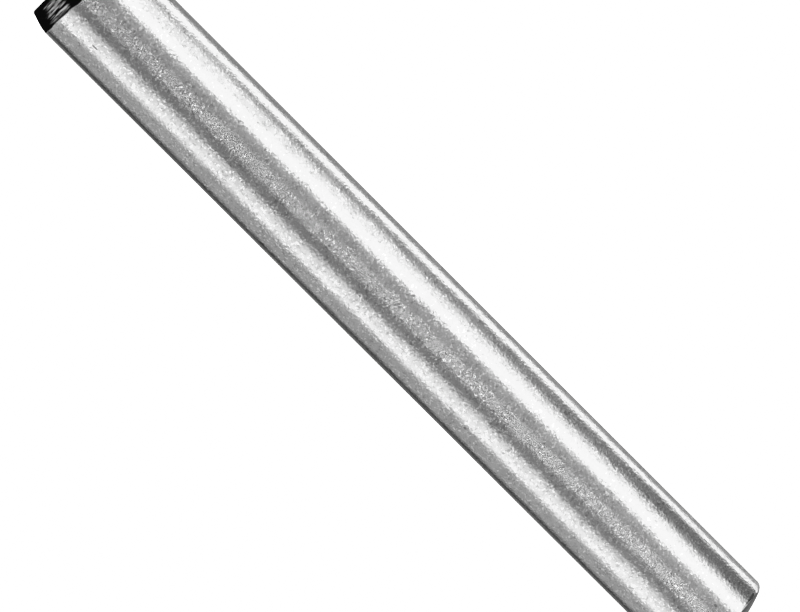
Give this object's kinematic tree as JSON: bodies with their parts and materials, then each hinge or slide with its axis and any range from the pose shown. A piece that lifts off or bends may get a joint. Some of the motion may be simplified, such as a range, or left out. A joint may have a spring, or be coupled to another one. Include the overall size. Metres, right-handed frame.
{
  "type": "locking pin",
  "caption": "Solid round locking pin in ground steel, with a lead-in cone on one end, a crown on the other and dark scale left on both ends.",
  "frame": {"origin": "centre of the flat face at the lead-in end, which the pin stands on", "axes": "+Z along the pin's axis, from the flat face to the crown; the pin is round, so X and Y are any two directions across it"},
  "size_m": [0.008, 0.008, 0.065],
  "materials": {
    "pin_steel": "finely ground shank, with the dark grey to black scale of hardening left on the lead-in cone, the flat face and the crown"
  },
  "bodies": {
    "root": {"locking_pin": "pin_steel"}
  },
  "joints": []
}
